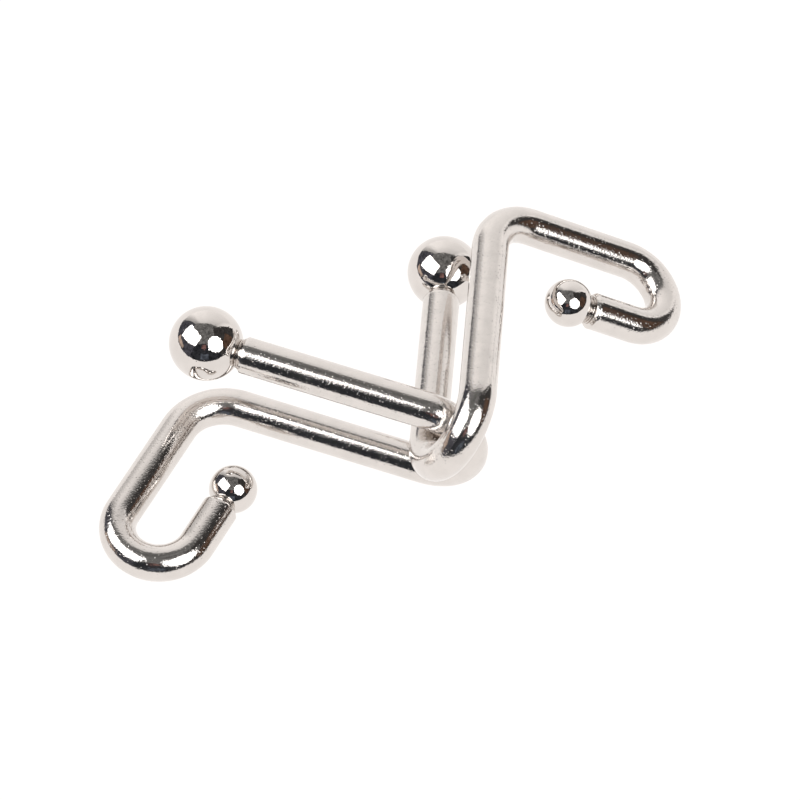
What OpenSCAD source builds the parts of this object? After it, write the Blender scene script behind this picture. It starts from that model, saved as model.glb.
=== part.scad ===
// Two bent bars with a ball on each end, linked as a take-apart puzzle.
// Millimetres. +Z is up and the links lie on the table at z = 0.
// X runs along the straight legs of the left link, and the origin is at the
// middle of the pair's footprint, on the table.

/* [Bar] */
// Diameter of the round bar
bar_d = 5; // [4:0.1:6]
// Chamfer on the cut ends of the bar
end_chamfer = 0.4; // [0.1:0.1:0.8]
// Diameter of the turned neck that each ball is pressed on to
neck_d = 3; // [2:0.1:3.4]
// How much fatter the bar is in its bends than in its straight legs
bend_swell = 0.02; // [0.02:0.01:0.06]

/* [Balls] */
// Diameter of the large ball
large_ball_d = 10; // [9:0.1:11]
// Diameter of the small ball
small_ball_d = 6.5; // [6:0.1:7]
// Gap between each ball and the cut end of the bar, on the axis of the bar
ball_gap = 0.1; // [0:0.05:0.6]
// Depth of the blind hole in the large ball
large_hole_depth = 4; // [2:0.1:5]
// Depth of the blind hole in the small ball
small_hole_depth = 2.6; // [1.5:0.1:3]

/* [Shape of one link] */
// Large ball's centre to the start of the U bend
long_leg = 31; // [29:0.1:34]
// Radius of the U bend, on the axis of the bar
u_bend_r = 6.4; // [6:0.1:8]
// Straight leg on the other side of the U bend
return_leg = 26; // [24:0.1:28]
// Radius of the corner bend that turns out of the plane of the U
corner_bend_r = 6.9; // [5:0.1:8]
// Angle of the corner bend
corner_angle = 82; // [75:1:90]
// Straight leg between the corner and the hook bend
cross_leg = 15.3; // [14:0.1:18]
// Radius of the hook bend, on the axis of the bar
hook_bend_r = 5.6; // [5.2:0.1:7]
// Straight end of the hook, from the bend to the small ball's centre
hook_leg = 10.1; // [8:0.1:10.5]

/* [Left link on the table] */
// Centre of the left link's large ball, along X
left_x = -24.9; // [-26:0.1:-23]
// Axis of the left link's lower leg, along Y
left_y = -5.9; // [-8:0.1:-4]

/* [Right link on the table] */
// Centre of the right link's large ball, along X
right_x = -1; // [-1.1:0.1:-0.9]
// Centre of the right link's large ball, along Y
right_y = 22.6; // [22.5:0.1:22.7]
// Turn of the right link about its long leg
right_roll = 150; // [149.8:0.1:150]
// Slope of the right link's long leg, which leans on the left link
right_pitch = -9.2; // [-9.3:0.1:-9.2]
// Heading of the right link's long leg
right_heading = -74.6; // [-74.7:0.1:-74.5]

/* [Hidden] */
$fn = 96;
// Length of each straight leg that is buried in the end of a bend
lap = 0.2;

// Distance from each ball's centre to the cut end of the bar beside it
large_end = large_ball_d / 2 + ball_gap;
small_end = small_ball_d / 2 + ball_gap;

// How far the small ball sits from the lower leg, across the plane of the hook
hook_reach = corner_bend_r * (1 - cos(corner_angle)) + cross_leg * sin(corner_angle)
    + 2 * hook_bend_r * cos(corner_angle) - hook_leg * sin(corner_angle);

// The small ball is fatter than the bar, so the hook lies tipped by this much
rest_tilt = -asin((small_ball_d - bar_d) / 2 / hook_reach);

// A length of bar from the origin along +X
module straight(length, d = bar_d) {
    rotate([0, 90, 0]) cylinder(h = length, d = d);
}

// A bend that starts at the origin along +X and turns towards -Z
module arc(radius, angle) {
    translate([0, 0, -radius]) rotate([90, 0, 0]) rotate([0, 0, 90 - angle])
        rotate_extrude(angle = angle) translate([radius, 0]) circle(d = bar_d + bend_swell);
}

// Moves its children past a straight length of bar
module past_straight(length) {
    translate([length, 0, 0]) children();
}

// Moves its children past a bend
module past_arc(radius, angle) {
    translate([radius * sin(angle), 0, radius * (cos(angle) - 1)])
        rotate([0, angle, 0]) children();
}

// The far end of the lower leg, turned so that the next bend goes sideways
module at_corner() {
    past_straight(long_leg) past_arc(u_bend_r, 180) past_straight(return_leg)
        rotate([-90, 0, 0]) children();
}

// The start of the hook bend
module at_hook() {
    at_corner() past_arc(corner_bend_r, corner_angle) past_straight(cross_leg) children();
}

// The start of the hook's straight end
module at_hook_leg() {
    at_hook() past_arc(hook_bend_r, 180) children();
}

// The centre of the small ball, with +X pointing back down the bar
module at_small_ball() {
    at_hook_leg() past_straight(hook_leg) rotate([0, 180, 0]) children();
}

// The turned neck and chamfered end of the bar, seen from a ball's centre
module bar_end(face, hole_depth, ball_d) {
    neck_start = ball_d / 2 - hole_depth;
    translate([neck_start, 0, 0]) straight(face - neck_start, neck_d);
    translate([face, 0, 0]) rotate([0, 90, 0])
        cylinder(h = end_chamfer, d1 = bar_d - 2 * end_chamfer, d2 = bar_d);
}

// A straight leg that runs from one bend to the next, lapped into both
module leg(length) {
    translate([-lap, 0, 0]) straight(length + 2 * lap);
}

// The whole bar of one link, from the large ball's centre to the small ball's
module link_bar() {
    first_full = large_end + end_chamfer;
    last_full = hook_leg - small_end - end_chamfer;
    color("silver") union() {
        bar_end(large_end, large_hole_depth, large_ball_d);
        translate([first_full, 0, 0]) straight(long_leg - first_full + lap);
        past_straight(long_leg) arc(u_bend_r, 180);
        past_straight(long_leg) past_arc(u_bend_r, 180) leg(return_leg);
        at_corner() arc(corner_bend_r, corner_angle);
        at_corner() past_arc(corner_bend_r, corner_angle) leg(cross_leg);
        at_hook() arc(hook_bend_r, 180);
        at_hook_leg() translate([-lap, 0, 0]) straight(last_full + lap);
        at_small_ball() bar_end(small_end, small_hole_depth, small_ball_d);
    }
}

// A ball with a blind hole that opens towards +X
module drilled_ball(ball_d, hole_depth) {
    color("gainsboro") difference() {
        sphere(d = ball_d);
        translate([ball_d / 2 - hole_depth, 0, 0]) straight(ball_d, neck_d);
    }
}

module large_ball() {
    drilled_ball(large_ball_d, large_hole_depth);
}

module small_ball() {
    at_small_ball() drilled_ball(small_ball_d, small_hole_depth);
}

// The left link lies on its lower leg and its small ball
module place_left() {
    translate([left_x, left_y, bar_d / 2]) rotate([rest_tilt, 0, 0])
        translate([0, 0, 2 * u_bend_r]) children();
}

// The right link rests on its large ball and its hook, and leans on the left link
module place_right() {
    translate([right_x, right_y, large_ball_d / 2])
        rotate([right_roll, right_pitch, right_heading]) children();
}

module left_bar() {
    place_left() link_bar();
}

module left_large_ball() {
    place_left() large_ball();
}

module left_small_ball() {
    place_left() small_ball();
}

module right_bar() {
    place_right() link_bar();
}

module right_large_ball() {
    place_right() large_ball();
}

module right_small_ball() {
    place_right() small_ball();
}

left_bar();
left_large_ball();
left_small_ball();
right_bar();
right_large_ball();
right_small_ball();
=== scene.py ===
"""The looks of two bent bars with ball ends, linked as a take-apart puzzle.

Each bar is one fine swept mesh with turned and chamfered ends, and each ball
is a lathed mesh. The metal is bright nickel plate, in a small studio.
Shapes are in millimetres and degrees, and are scaled to metres as each mesh is made.
"""

import math
from collections import namedtuple

import bpy
from mathutils import Matrix, Vector, noise


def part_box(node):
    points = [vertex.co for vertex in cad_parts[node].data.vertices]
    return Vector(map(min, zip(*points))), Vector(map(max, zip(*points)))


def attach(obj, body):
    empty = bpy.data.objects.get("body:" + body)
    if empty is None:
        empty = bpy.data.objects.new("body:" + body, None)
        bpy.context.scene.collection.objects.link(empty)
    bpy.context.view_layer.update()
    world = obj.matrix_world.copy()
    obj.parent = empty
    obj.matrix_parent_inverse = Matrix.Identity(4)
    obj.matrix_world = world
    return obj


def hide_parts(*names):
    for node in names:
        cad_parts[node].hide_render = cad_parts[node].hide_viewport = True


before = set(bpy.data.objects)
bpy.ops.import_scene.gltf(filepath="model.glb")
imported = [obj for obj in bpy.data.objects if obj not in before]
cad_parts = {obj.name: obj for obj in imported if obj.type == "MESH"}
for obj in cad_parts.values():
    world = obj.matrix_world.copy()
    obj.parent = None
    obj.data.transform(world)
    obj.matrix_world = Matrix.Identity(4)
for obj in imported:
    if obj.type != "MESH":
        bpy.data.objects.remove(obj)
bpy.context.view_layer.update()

MM = 0.001
UP = Vector((0.0, 0.0, 1.0))

# ---------------------------------------------------------------- sizes of one link

BAR_R = 2.5
NECK_R = 1.5
LONG_LEG = 31.0
U_BEND_R = 6.4
RETURN_LEG = 26.0
CORNER_BEND_R = 6.9
CORNER_ANGLE = 82.0
CROSS_LEG = 15.3
HOOK_BEND_R = 5.6
HOOK_LEG = 10.1

# From a ball's surface to the cut end of the bar, and from there to its full diameter
BALL_GAP = 0.1
END_CHAMFER = 0.4

# How the right link lies, about the centre of its large ball
RIGHT_ROLL = 150.0
RIGHT_PITCH = -9.2
RIGHT_HEADING = -74.6

# The turned end of the bar: distance past the full diameter towards the ball, and radius
END_PROFILE = [
    (0.0, 2.5),
    (0.03, 2.49),
    (0.07, 2.46),
    (0.48, 2.14),
    (0.51, 2.08),
    (0.52, 1.80),
    (0.56, 1.73),
    (0.61, 1.73),
    (0.65, 1.80),
    (0.66, 1.96),
    (0.69, 2.00),
    (0.75, 2.00),
    (0.78, 1.96),
    (0.79, 1.70),
    (0.88, 1.55),
    (1.10, NECK_R),
]

# Fineness of the meshes, and the angle past which an edge is drawn sharp
RING_SIDES = 96
BALL_RINGS = 72
LEG_STEP = 0.4
BEND_STEP = 0.25
SHARP_ANGLE = 28.0

# Angle of a ball's first ring from its pole, in radians, which leaves a tiny cap
POLE_ANGLE = 0.02

# Uneven surface of the bar: depth on a leg, what a bend adds, and the size of one dent
LEG_DENT = 0.006
BEND_DENT = 0.014
DENT_SIZE = 1.7

# How much the bar is flattened in the middle of a bend
BEND_FLATTENING = 0.05

# Where each bar's dents are taken from in the noise, so that the two bars differ
LEFT_SEED = 11.0
RIGHT_SEED = 47.0

Run = namedtuple("Run", "length radius angle twist")


def leg(length):
    return Run(length, None, 0.0, 0.0)


def bend(radius, angle, twist=0.0):
    """A bend towards -Z, after the bar's frame is twisted about its axis."""
    return Run(radius * math.radians(angle), radius, angle, twist)


RUNS = [
    leg(LONG_LEG),
    bend(U_BEND_R, 180.0),
    leg(RETURN_LEG),
    bend(CORNER_BEND_R, CORNER_ANGLE, twist=-90.0),
    leg(CROSS_LEG),
    bend(HOOK_BEND_R, 180.0),
    leg(HOOK_LEG),
]
AXIS_LENGTH = sum(run.length for run in RUNS)


def turn(x=0.0, y=0.0, z=0.0):
    """A rotation about X, then Y, then Z."""
    rx = Matrix.Rotation(math.radians(x), 4, "X")
    ry = Matrix.Rotation(math.radians(y), 4, "Y")
    rz = Matrix.Rotation(math.radians(z), 4, "Z")
    return rz @ ry @ rx


def move(x=0.0, y=0.0, z=0.0):
    return Matrix.Translation((x, y, z))


def along_run(run, part):
    """The step from the start of a run to a place part of the way along it."""
    if run.radius is None:
        return move(x=run.length * part)
    a = math.radians(run.angle * part)
    step = move(run.radius * math.sin(a), 0.0, run.radius * (math.cos(a) - 1.0))
    return step @ turn(y=run.angle * part)


def axis_at(distance):
    """The frame on the bar's axis, that far from the large ball's centre."""
    here = Matrix.Identity(4)
    remaining = distance
    for run in RUNS:
        here = here @ turn(x=run.twist)
        if remaining <= run.length or run is RUNS[-1]:
            return here @ along_run(run, remaining / run.length)
        here = here @ along_run(run, 1.0)
        remaining -= run.length


def bend_at(distance):
    """0 on a straight leg, rising to 1 in the middle of a bend."""
    remaining = distance
    for run in RUNS:
        if remaining <= run.length:
            return 0.0 if run.radius is None else math.sin(math.pi * remaining / run.length)
        remaining -= run.length
    return 0.0


# ---------------------------------------------------------------- mesh code


def skin(name, rings, transform):
    """A closed mesh over rings of points, with a cap on each end."""
    sides = len(rings[0])
    points = [transform @ p * MM for ring in rings for p in ring]
    faces = []
    for r in range(len(rings) - 1):
        for s in range(sides):
            t = (s + 1) % sides
            faces.append((r * sides + s, r * sides + t, (r + 1) * sides + t, (r + 1) * sides + s))
    faces.append(tuple(reversed(range(sides))))
    faces.append(tuple((len(rings) - 1) * sides + s for s in range(sides)))
    mesh = bpy.data.meshes.new(name)
    mesh.from_pydata(points, [], faces)
    mesh.validate()
    mesh.update()
    obj = bpy.data.objects.new(name, mesh)
    bpy.context.scene.collection.objects.link(obj)
    for face in mesh.polygons:
        face.use_smooth = len(face.vertices) == 4
    mesh.set_sharp_from_angle(angle=math.radians(SHARP_ANGLE))
    return obj


def bar_stations(large_start, small_start):
    """Distances along the axis and the bar's radius there, from end to end.

    The bar has its full diameter from large_start to small_start, each measured
    from the centre of the ball at its own end.
    """
    stations = [(large_start - back, radius) for back, radius in reversed(END_PROFILE)]
    end = AXIS_LENGTH - small_start
    at = 0.0
    for run in RUNS:
        step = LEG_STEP if run.radius is None else BEND_STEP
        count = round(run.length / step)
        for i in range(count):
            distance = at + run.length * i / count
            if large_start + step / 2 < distance < end - step / 2:
                stations.append((distance, BAR_R))
        at += run.length
    stations += [(end + back, radius) for back, radius in END_PROFILE]
    return stations


def dent(point, depth):
    """A smooth change of radius from fixed noise, so that no reflection runs ruler straight."""
    return depth * noise.noise(point / DENT_SIZE)


def bar_rings(large_start, small_start, seed):
    """The bar's rings of points, slightly uneven and a little flattened in its bends."""
    offset = Vector((seed, -seed, 2.0 * seed))
    normal = UP
    rings = []
    for distance, radius in bar_stations(large_start, small_start):
        place = axis_at(distance)
        centre = place.translation
        tangent = (place.to_3x3() @ Vector((1.0, 0.0, 0.0))).normalized()
        normal = (normal - tangent * normal.dot(tangent)).normalized()
        binormal = tangent.cross(normal)
        bent = bend_at(distance)
        inward = place.to_3x3() @ Vector((0.0, 0.0, -1.0))
        ring = []
        for s in range(RING_SIDES):
            a = 2.0 * math.pi * s / RING_SIDES
            out = normal * math.cos(a) + binormal * math.sin(a)
            surface = centre + out * radius
            change = dent(surface + offset, LEG_DENT + BEND_DENT * bent)
            change -= BEND_FLATTENING * bent * out.dot(inward) ** 2
            ring.append(surface + out * change)
        rings.append(ring)
    return rings


def ball_rings(radius, hole_r):
    """Rings of a ball from its far pole to the mouth of the hole on +X."""
    mouth = math.asin(hole_r / radius)
    rings = []
    for r in range(BALL_RINGS + 1):
        a = POLE_ANGLE + (math.pi - mouth - POLE_ANGLE) * r / BALL_RINGS
        x = -radius * math.cos(a)
        across = radius * math.sin(a)
        ring = []
        for s in range(RING_SIDES):
            b = 2.0 * math.pi * s / RING_SIDES
            ring.append(Vector((x, across * math.cos(b), -across * math.sin(b))))
        rings.append(ring)
    return rings


# ---------------------------------------------------------------- materials

# Scales are features for each metre
NICKEL_TINT = (0.715, 0.680, 0.652)
CLOUD_SCALE = 400.0
DARKEST_TINT = 0.96
LIGHTEST_TINT = 1.02
SHINE_SCALE = 1500.0
DULLEST_SHINE = 1.8
WAVE_SCALE = 900.0
PIT_SCALE = 2200.0

# Where a pit's floor ends and its rim begins, as parts of the way between two pits
PIT_FLOOR = 0.04
PIT_RIM = 0.25

# Patches on the dark walls and cards of the room, and how far they stray in brightness
ROOM_PATCHES = 5.0
MOTTLE = 0.55


def grey(level):
    """A level of brightness, written as a colour."""
    return (level, level, level, 1.0)


def new_material(name):
    material = bpy.data.materials.new(name)
    material.use_nodes = True
    tree = material.node_tree
    return material, tree, tree.nodes["Principled BSDF"]


def noise_node(tree, scale, detail=2.0, roughness=0.5):
    """Noise in the piece's own metres, so that it is as fine on a ball as on a bar."""
    where = tree.nodes.new("ShaderNodeTexCoord")
    texture = tree.nodes.new("ShaderNodeTexNoise")
    texture.inputs["Scale"].default_value = scale
    texture.inputs["Detail"].default_value = detail
    texture.inputs["Roughness"].default_value = roughness
    tree.links.new(where.outputs["Object"], texture.inputs["Vector"])
    return texture


def ramp_node(tree, source, low, high, low_at=0.35, high_at=0.65):
    ramp = tree.nodes.new("ShaderNodeValToRGB")
    ramp.color_ramp.elements[0].position = low_at
    ramp.color_ramp.elements[0].color = low
    ramp.color_ramp.elements[1].position = high_at
    ramp.color_ramp.elements[1].color = high
    tree.links.new(source, ramp.inputs["Fac"])
    return ramp


def pit_node(tree, scale):
    """Small round pits scattered in a level surface: 0 in a pit, and 1 elsewhere."""
    where = tree.nodes.new("ShaderNodeTexCoord")
    cells = tree.nodes.new("ShaderNodeTexVoronoi")
    cells.inputs["Scale"].default_value = scale
    tree.links.new(where.outputs["Object"], cells.inputs["Vector"])
    return ramp_node(tree, cells.outputs["Distance"], grey(0.0), grey(1.0), PIT_FLOOR, PIT_RIM)


def bump_node(tree, height, distance, after=None):
    bump = tree.nodes.new("ShaderNodeBump")
    bump.inputs["Distance"].default_value = distance
    tree.links.new(height, bump.inputs["Height"])
    if after:
        tree.links.new(after.outputs["Normal"], bump.inputs["Normal"])
    return bump


def nickel(name, shine, grain_scale, grain_depth, wave_depth, pit_depth):
    """Bright nickel plate: grain and pits over broad waves, with faint changes of tint and shine."""
    material, tree, shader = new_material(name)
    shader.inputs["Metallic"].default_value = 1.0
    cloud = noise_node(tree, CLOUD_SCALE, detail=3.0)
    dark = tuple(DARKEST_TINT * c for c in NICKEL_TINT) + (1.0,)
    light = tuple(LIGHTEST_TINT * c for c in NICKEL_TINT) + (1.0,)
    colour = ramp_node(tree, cloud.outputs["Fac"], dark, light)
    tree.links.new(colour.outputs["Color"], shader.inputs["Base Color"])
    patch = noise_node(tree, SHINE_SCALE, detail=4.0, roughness=0.6)
    gloss = ramp_node(tree, patch.outputs["Fac"], grey(shine), grey(DULLEST_SHINE * shine))
    tree.links.new(gloss.outputs["Color"], shader.inputs["Roughness"])
    wave = noise_node(tree, WAVE_SCALE, detail=1.0)
    grain = noise_node(tree, grain_scale, detail=1.0)
    broad = bump_node(tree, wave.outputs["Fac"], wave_depth)
    fine = bump_node(tree, grain.outputs["Fac"], grain_depth, after=broad)
    pits = pit_node(tree, PIT_SCALE)
    pitted = bump_node(tree, pits.outputs["Color"], pit_depth, after=fine)
    tree.links.new(pitted.outputs["Normal"], shader.inputs["Normal"])
    return material


def flat_glow(name, colour, strength=1.0):
    """A stage surface that only gives off light."""
    material = bpy.data.materials.new(name)
    material.use_nodes = True
    tree = material.node_tree
    tree.nodes.clear()
    out = tree.nodes.new("ShaderNodeOutputMaterial")
    glow = tree.nodes.new("ShaderNodeEmission")
    glow.inputs["Color"].default_value = colour + (1.0,)
    glow.inputs["Strength"].default_value = strength
    tree.links.new(glow.outputs["Emission"], out.inputs["Surface"])
    return material


def patchy_glow(name, colour):
    """A stage surface that gives off light in soft patches."""
    material = flat_glow(name, colour)
    tree = material.node_tree
    patches = noise_node(tree, ROOM_PATCHES, detail=4.0, roughness=0.6)
    level = ramp_node(tree, patches.outputs["Fac"], grey(1.0 - MOTTLE), grey(1.0 + MOTTLE))
    tree.links.new(level.outputs["Color"], tree.nodes["Emission"].inputs["Strength"])
    return material


# ---------------------------------------------------------------- the puzzle

# Depths of the grain, waves and pits are in metres
bar_metal = nickel(
    "nickel_bar",
    shine=0.09,
    grain_scale=4000.0,
    grain_depth=1.5e-5,
    wave_depth=0.5e-5,
    pit_depth=1.9e-5,
)
ball_metal = nickel(
    "nickel_ball",
    shine=0.035,
    grain_scale=2400.0,
    grain_depth=0.7e-5,
    wave_depth=0.9e-5,
    pit_depth=0.4e-5,
)


def ball_size(node):
    """A ball's centre and radius, from the corner of its box that its hole doesn't cut."""
    low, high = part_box(node)
    radius = (high.z - low.z) / 2.0
    return (low + Vector((radius, radius, radius))) / MM, radius / MM


def finish_piece(piece, material, node, body):
    piece.data.materials.append(material)
    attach(piece, body)
    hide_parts(node)


def build_link(side, place, large_r, small_r, seed):
    """The bar and the two balls of one link, placed by the large ball's frame."""
    large_start = large_r + BALL_GAP + END_CHAMFER
    small_start = small_r + BALL_GAP + END_CHAMFER
    body = side + "_link"
    bar = skin(side + "_bent_bar", bar_rings(large_start, small_start, seed), place)
    finish_piece(bar, bar_metal, side + "_bar", body)
    large = skin(side + "_ball_large", ball_rings(large_r, NECK_R), place)
    finish_piece(large, ball_metal, side + "_large_ball", body)
    small_place = place @ axis_at(AXIS_LENGTH) @ turn(y=180.0)
    small = skin(side + "_ball_small", ball_rings(small_r, NECK_R), small_place)
    finish_piece(small, ball_metal, side + "_small_ball", body)


left_centre, large_r = ball_size("left_large_ball")
right_centre, large_r = ball_size("right_large_ball")
small_low, small_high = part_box("left_small_ball")
small_r = (small_high.z - small_low.z) / 2.0 / MM

# The left link lies on its return leg and its small ball, which is fatter than the bar
hook_reach = -axis_at(AXIS_LENGTH).translation.y
rest_tilt = -math.degrees(math.asin((small_r - BAR_R) / hook_reach))
left_place = move(*left_centre) @ turn(x=rest_tilt)
right_place = move(*right_centre) @ turn(RIGHT_ROLL, RIGHT_PITCH, RIGHT_HEADING)
build_link("left", left_place, large_r, small_r, LEFT_SEED)
build_link("right", right_place, large_r, small_r, RIGHT_SEED)

# ---------------------------------------------------------------- camera

# Distances and clipping are in metres, the lens and the sensor in millimetres
CAMERA_AZIMUTH = 19.7
CAMERA_ELEVATION = 58.1
CAMERA_DISTANCE = 0.6993
CAMERA_LENS = 234.7
SENSOR_WIDTH = 36.0
NEAREST_SEEN = 0.01
FARTHEST_SEEN = 50.0
CAMERA_TARGET = Vector((0.9, -0.55, 8.0)) * MM


def towards(azimuth, elevation):
    """The direction from the puzzle at an azimuth, where 0 is the front, and an elevation."""
    a = math.radians(azimuth)
    e = math.radians(elevation)
    return Vector((math.sin(a) * math.cos(e), -math.cos(a) * math.cos(e), math.sin(e)))


camera_data = bpy.data.cameras.new("camera")
camera_data.lens = CAMERA_LENS
camera_data.sensor_width = SENSOR_WIDTH
camera_data.clip_start = NEAREST_SEEN
camera_data.clip_end = FARTHEST_SEEN
camera = bpy.data.objects.new("camera", camera_data)
bpy.context.scene.collection.objects.link(camera)
to_camera = towards(CAMERA_AZIMUTH, CAMERA_ELEVATION)
camera.location = CAMERA_TARGET + to_camera * CAMERA_DISTANCE
camera.rotation_euler = to_camera.to_track_quat("Z", "Y").to_euler()
bpy.context.scene.camera = camera

# ---------------------------------------------------------------- studio

# The studio is in metres and degrees, and its azimuths are measured from the camera's
ROOM_HALF = 1.3
ROOM_HEIGHT = 1.9

# Colours of light given off
WHITE = (1.0, 1.0, 1.0)
PAPER = (1.05, 1.02, 1.0)
CEILING = (0.17, 0.168, 0.165)
DARK = (0.050, 0.047, 0.046)

# The paper on the table: how much light it reflects, and how much it gives off
FLOOR_GREY = 0.04
FLOOR_ROUGHNESS = 0.9
FLOOR_GLOW = 0.99

# The paper sweep behind the puzzle
SWEEP_AZIMUTH = 172.3
SWEEP_DISTANCE = 1.1
SWEEP_HALF_WIDTH = 1.22
SWEEP_HEIGHT = 1.83

# Brightness of the sweep from the table to its top: part of the way, and level
RISING_STOPS = [(0.01, 1.0), (0.4, 0.93), (0.85, 0.74), (1.0, 0.5)]

# Brightness of the sweep from its right edge to its left, as the camera sees it
SIDEWAYS_STOPS = [
    (0.01, 1.12),
    (0.10, 1.08),
    (0.15, 0.95),
    (0.19, 0.88),
    (0.27, 0.94),
    (0.39, 0.98),
    (0.50, 1.04),
    (0.60, 1.12),
    (0.76, 1.14),
    (0.81, 1.0),
    (0.86, 0.78),
    (0.92, 0.60),
    (1.0, 0.48),
]

SOFT_BOX_GLOW = 3.4

Card = namedtuple("Card", "name azimuth elevation distance size colour")

# Dark and coloured things round the room, which show in the metal and hide nothing
CARDS = [
    Card("dark_ceiling", 100.0, 58.0, 1.5, (0.9, 0.5), DARK),
    Card("brown_clutter", 84.0, 20.0, 1.2, (0.80, 0.60), (0.10, 0.060, 0.042)),
    Card("warm_clutter", -9.0, 47.0, 0.95, (0.20, 0.22), (0.185, 0.10, 0.09)),
    Card("blue_clutter", -5.0, 16.0, 0.95, (0.40, 0.30), (0.10, 0.114, 0.14)),
    Card("tan_clutter", -90.0, 8.0, 1.0, (0.55, 0.18), (0.46, 0.36, 0.30)),
]

# The four walls: name, azimuth and colour
WALLS = [
    ("wall_front", 0.0, (0.031, 0.033, 0.038)),
    ("wall_left", -90.0, (0.075, 0.075, 0.09)),
    ("wall_right", 90.0, DARK),
    ("wall_back", 180.0, (0.09, 0.09, 0.10)),
]


def studio_towards(azimuth, elevation):
    return towards(azimuth + CAMERA_AZIMUTH, elevation)


def sheet(name, corners, material, seen=False):
    """A flat stage piece. Unless it is seen, it lights and reflects but hides nothing."""
    mesh = bpy.data.meshes.new(name)
    mesh.from_pydata(corners, [], [tuple(range(len(corners)))])
    mesh.materials.append(material)
    obj = bpy.data.objects.new(name, mesh)
    bpy.context.scene.collection.objects.link(obj)
    obj.visible_camera = seen
    return obj


def facing_card(name, azimuth, elevation, distance, size, material, sides=4, roll=0.0):
    """A card that faces the puzzle: a rectangle, or a polygon with that many sides.

    Size is its width and height, across the flats.
    """
    centre = studio_towards(azimuth, elevation)
    across = studio_towards(azimuth + 90.0, 0.0)
    upright = centre.cross(across)
    if upright.z < 0.0:
        upright = -upright
    reach = Vector(size) / 2.0 / math.cos(math.pi / sides)
    c = math.cos(math.radians(roll))
    s = math.sin(math.radians(roll))
    corners = []
    for i in range(sides):
        a = 2.0 * math.pi * (i + 0.5) / sides
        u = reach.x * math.cos(a)
        v = reach.y * math.sin(a)
        corners.append(centre * distance + across * (u * c - v * s) + upright * (u * s + v * c))
    return sheet(name, corners, material)


def wall(name, azimuth, material):
    """One upright wall of the room, on the side that the azimuth names."""
    out = studio_towards(azimuth, 0.0) * ROOM_HALF
    side = studio_towards(azimuth + 90.0, 0.0) * ROOM_HALF
    top = UP * ROOM_HEIGHT
    return sheet(name, [out - side, out + side, out + side + top, out - side + top], material)


def brightness_along(tree, direction, low, high, stops):
    """Brightness that changes along a direction, from low to high in metres.

    Stops are (part of the way, level), and the last one is at the far end.
    """
    where = tree.nodes.new("ShaderNodeNewGeometry")
    along = tree.nodes.new("ShaderNodeVectorMath")
    along.operation = "DOT_PRODUCT"
    along.inputs[1].default_value = direction
    part_way = tree.nodes.new("ShaderNodeMapRange")
    part_way.inputs["From Min"].default_value = low
    part_way.inputs["From Max"].default_value = high
    ramp = tree.nodes.new("ShaderNodeValToRGB")
    steps = ramp.color_ramp.elements
    for part, level in stops:
        step = steps[-1] if part == 1.0 else steps.new(part)
        step.color = grey(level)
    steps.remove(steps[0])
    tree.links.new(where.outputs["Position"], along.inputs[0])
    tree.links.new(along.outputs["Value"], part_way.inputs["Value"])
    tree.links.new(part_way.outputs["Result"], ramp.inputs["Fac"])
    return ramp


def sweep_paper():
    """White paper that dims towards its top and towards its left edge."""
    paper = flat_glow("white_sweep", PAPER)
    tree = paper.node_tree
    left = studio_towards(SWEEP_AZIMUTH + 90.0, 0.0)
    rising = brightness_along(tree, UP, 0.0, SWEEP_HEIGHT, RISING_STOPS)
    sideways = brightness_along(tree, left, -SWEEP_HALF_WIDTH, SWEEP_HALF_WIDTH, SIDEWAYS_STOPS)
    level = tree.nodes.new("ShaderNodeMath")
    level.operation = "MULTIPLY"
    tree.links.new(rising.outputs["Color"], level.inputs[0])
    tree.links.new(sideways.outputs["Color"], level.inputs[1])
    tree.links.new(level.outputs["Value"], tree.nodes["Emission"].inputs["Strength"])
    return paper


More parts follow.
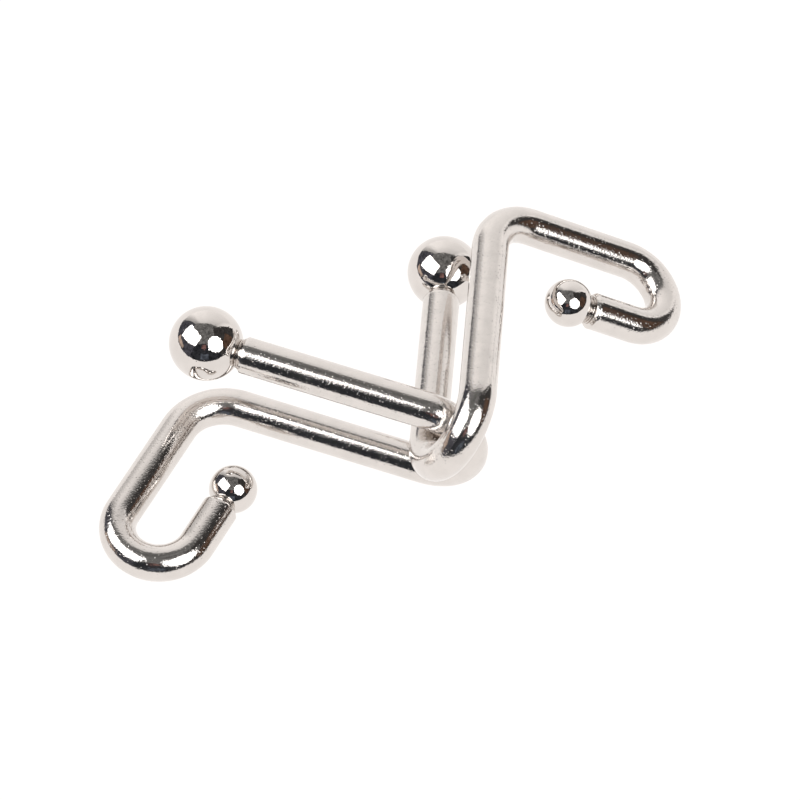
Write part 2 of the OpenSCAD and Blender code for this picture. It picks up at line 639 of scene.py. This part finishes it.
def floor_paper():
    """White paper on the table, whose own glow all but washes out the puzzle's shadow."""
    paper, _, shader = new_material("white_paper")
    shader.inputs["Base Color"].default_value = grey(FLOOR_GREY)
    shader.inputs["Roughness"].default_value = FLOOR_ROUGHNESS
    shader.inputs["Specular IOR Level"].default_value = 0.0
    shader.inputs["Emission Color"].default_value = PAPER + (1.0,)
    shader.inputs["Emission Strength"].default_value = FLOOR_GLOW
    return paper


# The floor is the only sheet that the camera sees
corner_reach = ROOM_HALF * math.sqrt(2.0)
floor_corners = [studio_towards(a, 0.0) * corner_reach for a in (45.0, 135.0, 225.0, 315.0)]
sheet("floor", floor_corners, floor_paper(), seen=True)

# The sweep is centred on the table, so its lower half is hidden under the floor
sweep_size = (2.0 * SWEEP_HALF_WIDTH, 2.0 * SWEEP_HEIGHT)
facing_card("sweep", SWEEP_AZIMUTH, 0.0, SWEEP_DISTANCE, sweep_size, sweep_paper())

ceiling_corners = [p + UP * ROOM_HEIGHT for p in floor_corners]
sheet("ceiling", ceiling_corners, patchy_glow("grey_ceiling", CEILING))
for name, azimuth, colour in WALLS:
    wall(name, azimuth, patchy_glow(name, colour))
for card in CARDS:
    glow = patchy_glow(card.name, card.colour)
    facing_card(card.name, card.azimuth, card.elevation, card.distance, card.size, glow)

# A soft box on each side of the camera, and a small lamp between them. The right box and
# the lamp have eight sides.
box_glow = flat_glow("soft_box", WHITE, SOFT_BOX_GLOW)
facing_card("soft_box_left", -87.5, 47.0, 1.1, (1.18, 0.74), box_glow, roll=32.0)
facing_card("soft_box_right", 44.5, 45.5, 1.1, (0.88, 1.0), box_glow, sides=8, roll=10.0)
facing_card("lamp", 11.0, 39.0, 0.9, (0.05, 0.05), box_glow, sides=8)

world = bpy.data.worlds.new("pale_world")
world.use_nodes = True
world.node_tree.nodes["Background"].inputs["Color"].default_value = grey(1.0)
world.node_tree.nodes["Background"].inputs["Strength"].default_value = 1.0
bpy.context.scene.world = world
bpy.context.scene.view_settings.view_transform = "Standard"

# Light crosses the narrow gaps between the bars many times
GLOSSY_BOUNCES = 10
bpy.context.scene.cycles.glossy_bounces = GLOSSY_BOUNCES
